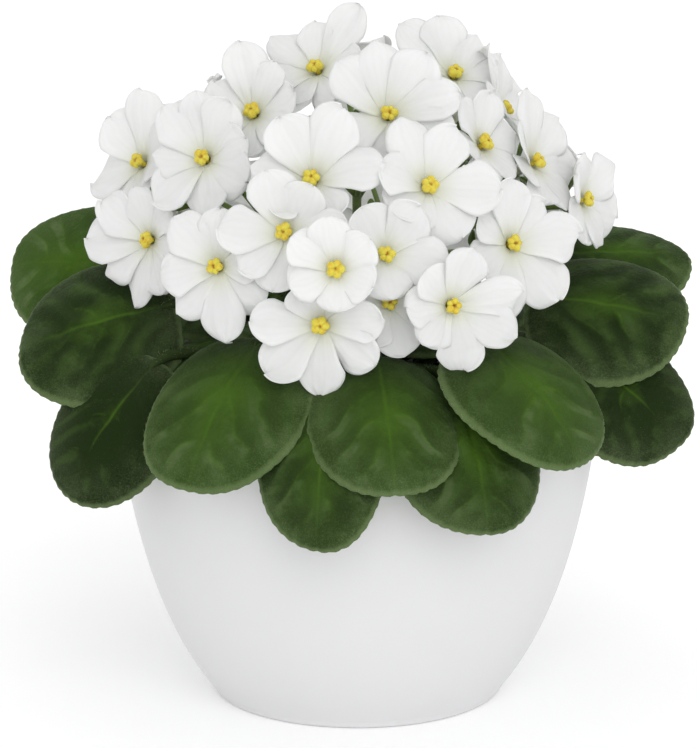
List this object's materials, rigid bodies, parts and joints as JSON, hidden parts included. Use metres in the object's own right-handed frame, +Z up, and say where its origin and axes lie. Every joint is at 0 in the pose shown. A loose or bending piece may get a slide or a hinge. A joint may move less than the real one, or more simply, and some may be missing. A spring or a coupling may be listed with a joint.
{
  "type": "potted african violet",
  "caption": "Compact flowering house plant with round hairy leaves and a dome of white blooms, growing in a plain white bowl pot.",
  "frame": {"origin": "centre of the pot's flat foot, on the surface it stands on", "axes": "+Z up along the pot's axis; -Y is the plant's front, the side that is seen first; +X is to the right from the front"},
  "size_m": [0.1938, 0.1803, 0.1961],
  "materials": {
    "pot": "satin",
    "soil": "matte",
    "crown": "matte",
    "leaf": "matte",
    "petal": "matte",
    "flower_stalk": "matte"
  },
  "bodies": {
    "root": {"pot": "pot", "soil": "soil", "crown": "crown", "leaf_01": "leaf", "leaf_02": "leaf", "leaf_03": "leaf", "leaf_04": "leaf", "leaf_05": "leaf", "leaf_06": "leaf", "leaf_07": "leaf", "leaf_08": "leaf", "leaf_09": "leaf", "leaf_10": "leaf", "leaf_11": "leaf", "leaf_12": "leaf", "leaf_13": "leaf", "leaf_14": "leaf", "leaf_15": "leaf", "leaf_16": "leaf", "leaf_17": "leaf", "leaf_18": "leaf", "flower_01": "petal", "flower_02": "petal", "flower_03": "petal", "flower_04": "petal", "flower_05": "petal", "flower_06": "petal", "flower_07": "petal", "flower_08": "petal", "flower_09": "petal", "flower_10": "petal", "flower_11": "petal", "flower_12": "petal", "flower_13": "petal", "flower_14": "petal", "flower_15": "petal", "flower_16": "petal", "flower_17": "petal", "flower_18": "petal", "flower_19": "petal", "flower_20": "petal", "flower_21": "petal", "flower_22": "petal", "flower_23": "petal", "flower_24": "petal", "flower_25": "petal", "flower_26": "petal", "flower_27": "petal", "flower_28": "petal", "flower_29": "petal", "flower_30": "petal", "flower_31": "petal", "flower_stalk_1": "flower_stalk", "flower_stalk_2": "flower_stalk", "flower_stalk_3": "flower_stalk", "flower_stalk_4": "flower_stalk", "flower_stalk_5": "flower_stalk", "flower_stalk_6": "flower_stalk", "flower_stalk_7": "flower_stalk"}
  },
  "joints": []
}
